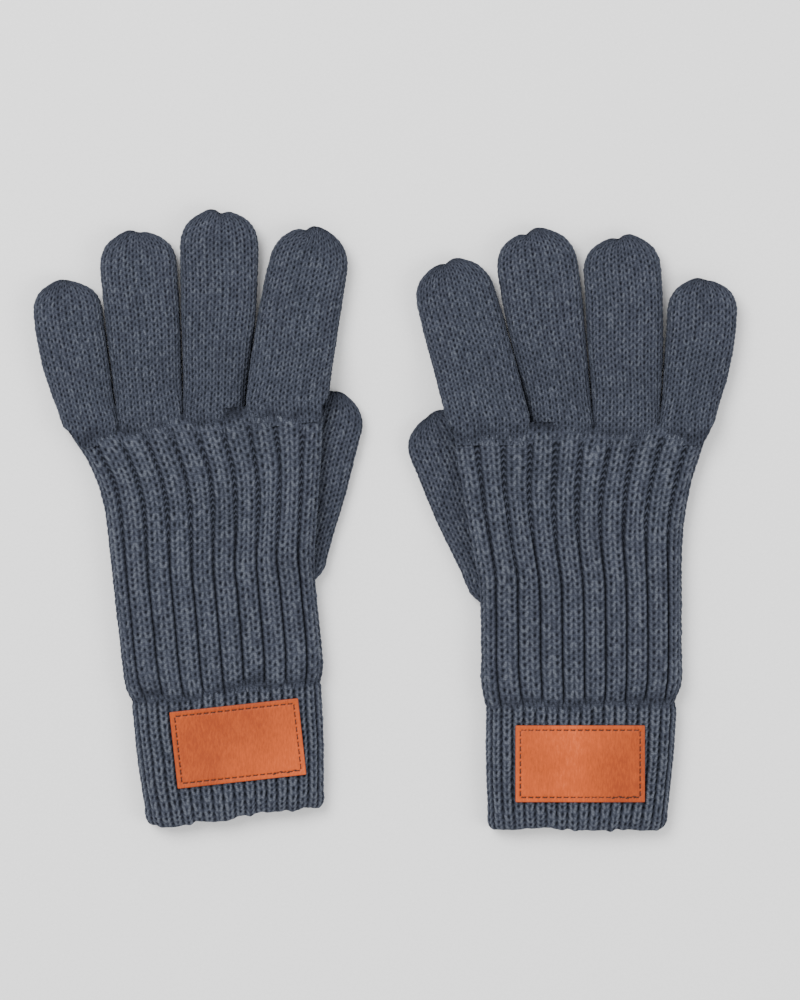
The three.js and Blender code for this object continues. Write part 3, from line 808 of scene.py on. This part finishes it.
def leather_material():
    """Vegetable tanned cowhide, dyed tan and waxed: a fine tight grain, soft clouds of tone
    where the hide took more dye, a painted sheen in broad slanting bands, a low even gloss,
    darker cut edges, and needle holes painted dark as shade."""
    material, tree = new_material("tan_cowhide")
    place = add(tree, "TexCoord").outputs["Object"]
    press = add(tree, "Attribute", {"attribute_name": "press"}).outputs["Fac"]
    rim = add(tree, "Attribute", {"attribute_name": "rim"}).outputs["Fac"]
    warp, slant = (add(tree, "Mapping",
                       {"Scale": (1.0, narrow, 1.0), "Rotation": (0, 0, math.radians(angle))},
                       Vector=place) for narrow, angle in ((0.28, 4), (0.35, 50)))
    # pores and creases of the grain, 0.5 mm apart and drawn out down the hide
    grain = add(tree, "TexVoronoi", {"feature": "F1", "Scale": 1900.0}, Vector=warp)
    crease = add(tree, "TexNoise", {"Scale": 1500.0, "Detail": 5.0, "Roughness": 0.65},
                 Vector=warp)
    # clouds of dye, 13 mm across, and a painted sheen in broad slanting bands, 33 mm across
    cloud = add(tree, "TexNoise", {"Scale": 75.0, "Detail": 3.0, "Roughness": 0.55},
                Vector=place)
    painted_sheen = add(tree, "TexNoise", {"Scale": 30.0, "Detail": 1.5}, Vector=slant)
    dye_and_painted_sheen = add(tree, "Math", {"operation": "MULTIPLY_ADD", 1: 0.25},
                i0=cloud, i2=painted_sheen)
    fine = add(tree, "Math", {"operation": "MULTIPLY_ADD", 1: 0.6},
               i0=crease, i2=dye_and_painted_sheen)
    spread = add(tree, "MapRange", {"From Min": 0.68, "From Max": 1.16}, i0=fine)
    tone = add(tree, "ValToRGB",
               {"stops": [(0.0, "#903a14"), (0.35, "#a84819"), (0.65, "#ba4f1e"),
                          (1.0, "#d0622f")]}, i0=spread)
    # painted shade: the needle holes are painted dark
    with_hole_shade = add(tree, "Mix", {"data_type": "RGBA", 7: linear("#2a0f06")},
               i0=press, i6=tone).outputs[2]
    edge = add(tree, "Mix", {"data_type": "RGBA", 7: linear("#6f2c12")},
               i0=rim, i6=with_hole_shade).outputs[2]
    rough = add(tree, "MapRange", {"From Min": 0.3, "From Max": 0.7,
                                             "To Min": 0.42, "To Max": 0.58}, i0=cloud)
    pitted = add(tree, "Math", {"operation": "MULTIPLY_ADD", 1: 0.8},
                 i0=crease, i2=grain)
    bump = add(tree, "Bump", {"Strength": 0.35, "Distance": 0.12 * MM}, Height=pitted)
    shader = add(tree, "BsdfPrincipled", {"Specular IOR Level": 0.2},
                 Base_Color=edge, Roughness=rough, Normal=bump)
    add(tree, "OutputMaterial", Surface=shader)
    return material


leather = leather_material()


def sewing_line():
    """The ends of each stitch round the patch, in its own plane, from the lower right corner."""
    half_x, half_y = PATCH_LONG / 2 - SEWN_IN, PATCH_HIGH / 2 - SEWN_IN
    ends = [(half_x, -half_y), (-half_x, -half_y), (-half_x, half_y), (half_x, half_y),
            (half_x, -half_y)]
    stitches = []
    for a, b in zip(np.array(ends), np.array(ends[1:])):
        count = int(round(np.linalg.norm(b - a) / STITCH))
        stitches += [(a + (b - a) * i / count, a + (b - a) * (i + 1) / count)
                     for i in range(count)]
    return stitches


stitches = sewing_line()

for number, (side, glove) in enumerate(gloves.items()):
    node = f"{side}_leather_patch"
    low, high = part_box(node)
    across, ahead = np.array(glove["across"])[:2], np.array(glove["ahead"])[:2]
    centre = np.array([(low.x + high.x) / 2, (low.y + high.y) / 2]) + PATCH_AHEAD * ahead
    glove["patch_centre"], glove["patch_top"] = centre, high.z
    bpy.ops.object.select_all(action="DESELECT")
    bpy.ops.mesh.primitive_grid_add(x_subdivisions=int(PATCH_LONG / CELL),
                                    y_subdivisions=int(PATCH_HIGH / CELL), size=1)
    patch = bpy.context.object
    patch.name = patch.data.name = f"{side}_patch_leather"
    mesh = patch.data
    count = len(mesh.vertices)
    co = np.empty(count * 3)
    mesh.vertices.foreach_get("co", co)
    co = co.reshape(-1, 3)
    x, y = co[:, 0] * PATCH_LONG, co[:, 1] * PATCH_HIGH
    # the cut corners are slightly round
    cx, cy = PATCH_LONG / 2 - PATCH_CORNER, PATCH_HIGH / 2 - PATCH_CORNER
    dx, dy = np.maximum(np.abs(x) - cx, 0), np.maximum(np.abs(y) - cy, 0)
    far = np.maximum(np.maximum(dx, dy), 1e-9)
    scale = far / np.maximum(np.hypot(dx, dy), 1e-9)
    corner = (dx > 0) & (dy > 0)
    x = np.where(corner, np.sign(x) * (cx + dx * scale), x)
    y = np.where(corner, np.sign(y) * (cy + dy * scale), y)
    edge = np.minimum(PATCH_LONG / 2 - np.abs(x), PATCH_HIGH / 2 - np.abs(y))
    from_corner = np.hypot(x - np.sign(x) * cx, y - np.sign(y) * cy)
    edge = np.where(corner, PATCH_CORNER - from_corner, edge)
    # height: a worn edge, the channel and the holes of the sewing, a swell, and raised corners
    rounded = np.clip(edge / PATCH_EDGE, 0, 1)
    channel = np.exp(-((edge - SEWN_IN) / (0.5 * MM)) ** 2)
    holes = np.zeros(count)
    for a, b in stitches:
        for share in (STITCH_STARTS, 1 - STITCH_STARTS):
            hole = a + (b - a) * share
            apart = np.hypot(x - hole[0], y - hole[1])
            holes = np.maximum(holes, np.exp(-(apart / (0.33 * MM)) ** 2))
    swell = 0.22 * MM * np.sin(x / (9 * MM) + number) * np.cos(y / (11 * MM) + 1.3 * number)
    lift = 0.25 * MM * ((np.abs(x) * 2 / PATCH_LONG) ** 6 * (np.abs(y) * 2 / PATCH_HIGH) ** 6)
    z = (high.z - 0.15 * MM + swell + lift - 0.2 * MM * (1 - np.sqrt(1 - (1 - rounded) ** 2))
         - 0.05 * MM * channel - 0.4 * MM * holes)
    world = centre[None, :] + x[:, None] * across + y[:, None] * ahead
    mesh.vertices.foreach_set("co", np.column_stack([world, z]).ravel())
    # the needle holes are painted dark, as the shade inside them
    point_map(mesh, "press", "FLOAT", np.clip(1.1 * holes - 0.1, 0, 1))
    # the wall and the flesh side: the border is drawn down in two steps and filled
    bpy.ops.object.mode_set(mode="EDIT")
    bpy.ops.mesh.select_all(action="SELECT")
    bpy.ops.mesh.region_to_loop()
    for drop in (0.5, 0.42):
        bpy.ops.mesh.extrude_region_move(
            TRANSFORM_OT_translate={"value": (0, 0, -PATCH_THICK * drop)})
    bpy.ops.mesh.edge_face_add()
    finish_faces(50)
    worn = np.ones(len(mesh.vertices))
    worn[:count] = np.clip(1 - edge / PATCH_EDGE, 0, 1) ** 1.5
    point_map(mesh, "rim", "FLOAT", worn)
    patch.data.materials.append(leather)
    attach(patch, f"{side}_wrist")
    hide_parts(node)


# ---- The sewing ----
# Brown polyester thread, twisted, in one lockstitch row round the patch. The top thread dips
# into a hole at each stitch's end, the under thread locks with it inside the cuff, and the
# row starts and ends with a few stitches sewn over each other at the lower right.

THREAD = 0.44 * MM  # thickness
ARCH, SUNK = 0.36 * MM, 0.20 * MM  # rise of a stitch's middle, and drop of its ends


def thread_material():
    """Twisted polyester sewing thread, dyed brown: a soft gloss, with the twist as fine
    slanting lines and its grooves painted darker, as painted shade."""
    material, tree = new_material("brown_sewing_thread")
    uv = add(tree, "UVMap", {"uv_map": "thread"})
    parts = add(tree, "SeparateXYZ", i0=uv)
    slant = add(tree, "Math", {"operation": "ADD"}, i0=parts, i1=parts.outputs[1])
    level = twist(tree, slant, 2)
    fluff = add(tree, "TexNoise", {"Scale": 9.0, "Detail": 3.0}, Vector=uv)
    both = add(tree, "Math", {"operation": "MULTIPLY_ADD", 1: 0.5},
               i0=fluff, i2=level)
    # painted shade: the grooves of the twist are darker
    colour = add(tree, "ValToRGB",
                 {"stops": [(0.1, "#200e07"), (0.6, "#371a0d"), (1.0, "#502919")]}, i0=both)
    bump = add(tree, "Bump", {"Strength": 0.5, "Distance": 0.08 * MM}, Height=both)
    shader = add(tree, "BsdfPrincipled",
                 {"Roughness": 0.62, "Specular IOR Level": 0.35},
                 Base_Color=colour, Normal=bump)
    add(tree, "OutputMaterial", Surface=shader)
    return material


thread = thread_material()


def sew(name, stitches, glove, level, sign):
    """One mesh of separate stitches: sign 1 arches up on the leather, -1 down inside the cuff.
    Each is a rounded rod of rings of points, between the ends a and b, moved aside and up."""
    across, ahead = np.array(glove["across"])[:2], np.array(glove["ahead"])[:2]
    around, along = 8, 7
    points, faces, uvs = [], [], []
    for a, b, shift, rise in stitches:
        line = b - a
        way = line / np.linalg.norm(line)
        aside = np.array([way[1], -way[0]])
        first = len(points)
        for i in range(along):
            t = i / (along - 1)
            spot = a + line * (STITCH_STARTS + (1 - 2 * STITCH_STARTS) * t) + aside * shift
            arch = (1 - abs(2 * t - 1) ** 2.6) * ARCH - SUNK + rise
            slim = 1 - 0.3 * abs(2 * t - 1) ** 4
            for k in range(around):
                turn = 2 * math.pi * k / around
                flat = spot + aside * (math.cos(turn) * THREAD / 2 * 1.1 * slim)
                lift = (arch + math.sin(turn) * THREAD / 2 * 0.85 * slim) * sign
                place = glove["patch_centre"] + flat[0] * across + flat[1] * ahead
                points.append((place[0], place[1], level + lift))
        for i in range(along - 1):
            for k in range(around):
                after = (k + 1) % around
                near, far = first + i * around, first + (i + 1) * around
                faces.append([near + k, near + after, far + after, far + k])
                uvs.append([(k / around, i / 3), ((k + 1) / around, i / 3),
                            ((k + 1) / around, (i + 1) / 3), (k / around, (i + 1) / 3)])
        for ring in (0, along - 1):
            edge = [first + ring * around + k for k in range(around)]
            faces.append(edge if ring else edge[::-1])
            uvs.append([(k / around, ring / 3) for k in range(around)])
    mesh = bpy.data.meshes.new(name)
    mesh.from_pydata(points, [], faces)
    layer = mesh.uv_layers.new(name="thread")
    layer.data.foreach_set("uv", [c for face in uvs for corner in face for c in corner])
    piece = new_object(name, mesh)
    bpy.ops.object.select_all(action="DESELECT")
    piece.select_set(True)
    bpy.context.view_layer.objects.active = piece
    finish_faces(60)
    piece.data.materials.append(thread)
    return piece


for side, glove in gloves.items():
    run = [(a, b, 0.0, 0.0) for a, b in stitches]
    locked = [(a + (b - a) * 0.35, b + (b - a) * 0.35, 0.32 * MM * (-1) ** i, 0.12 * MM)
              for i, (a, b) in enumerate(stitches[:4])]
    top = sew(f"{side}_patch_top_stitches", run + locked, glove,
              glove["patch_top"] - 0.28 * MM, 1)
    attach(top, f"{side}_wrist")
    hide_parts(f"{side}_patch_stitching")
    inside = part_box(f"{side}_patch_thread_inside")[1].z
    under = sew(f"{side}_patch_under_stitches", run, glove, inside - 0.1 * MM, -1)
    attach(under, f"{side}_wrist")
    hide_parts(f"{side}_patch_thread_inside")


# ---- The table, the light and the camera ----
# A plain near-white table, lit evenly from all round with a large soft light above, and a
# long lens straight overhead.

bpy.ops.object.select_all(action="DESELECT")
bpy.ops.mesh.primitive_plane_add(size=6)
table = bpy.context.object
table.name = table.data.name = "table"
# matt white card: even and barely specked, with no gloss
material, tree = new_material("white_card")
place = add(tree, "TexCoord").outputs["Object"]
speck = add(tree, "TexNoise", {"Scale": 900.0, "Detail": 2.0}, Vector=place)
colour = add(tree, "ValToRGB", {"stops": [(0.3, "#f6f6f6"), (0.7, "#fbfbfb")]},
             i0=speck)
shader = add(tree, "BsdfPrincipled", {"Roughness": 0.9, "Specular IOR Level": 0.1},
             Base_Color=colour)
add(tree, "OutputMaterial", Surface=shader)
table.data.materials.append(material)

world = bpy.data.worlds.new("soft_room")
bpy.context.scene.world = world
world.use_nodes = True
background = world.node_tree.nodes["Background"]
background.inputs["Color"].default_value = (1, 1, 1, 1)
background.inputs["Strength"].default_value = 0.95


def soft_light(name, place, size, power):
    """A round soft light that faces the gloves."""
    light = bpy.data.lights.new(name, "AREA")
    light.shape = "DISK"
    light.size = size
    light.energy = power
    lamp = new_object(name, light)
    lamp.location = place
    lamp.rotation_euler = (-Vector(place)).to_track_quat("-Z", "Y").to_euler()


soft_light("overhead_softbox", (-0.7, 0.7, 1.5), 1.1, 34)
soft_light("side_fill", (1.1, -0.4, 1.1), 0.9, 10)

VIEW_CENTRE = (6.15 * MM, 8.4 * MM)
VIEW_LENGTH = 410 * MM  # of table from the top of the view to its bottom
GLOVE_TOP = 10 * MM  # where that is measured
LENS, SENSOR = 135, 36
eye = bpy.data.cameras.new("overhead_camera")
eye.lens = LENS
eye.sensor_width = SENSOR
eye.clip_end = 20
camera = new_object("overhead_camera", eye)
camera.location = (VIEW_CENTRE[0], VIEW_CENTRE[1], VIEW_LENGTH * LENS / SENSOR + GLOVE_TOP)
bpy.context.scene.camera = camera
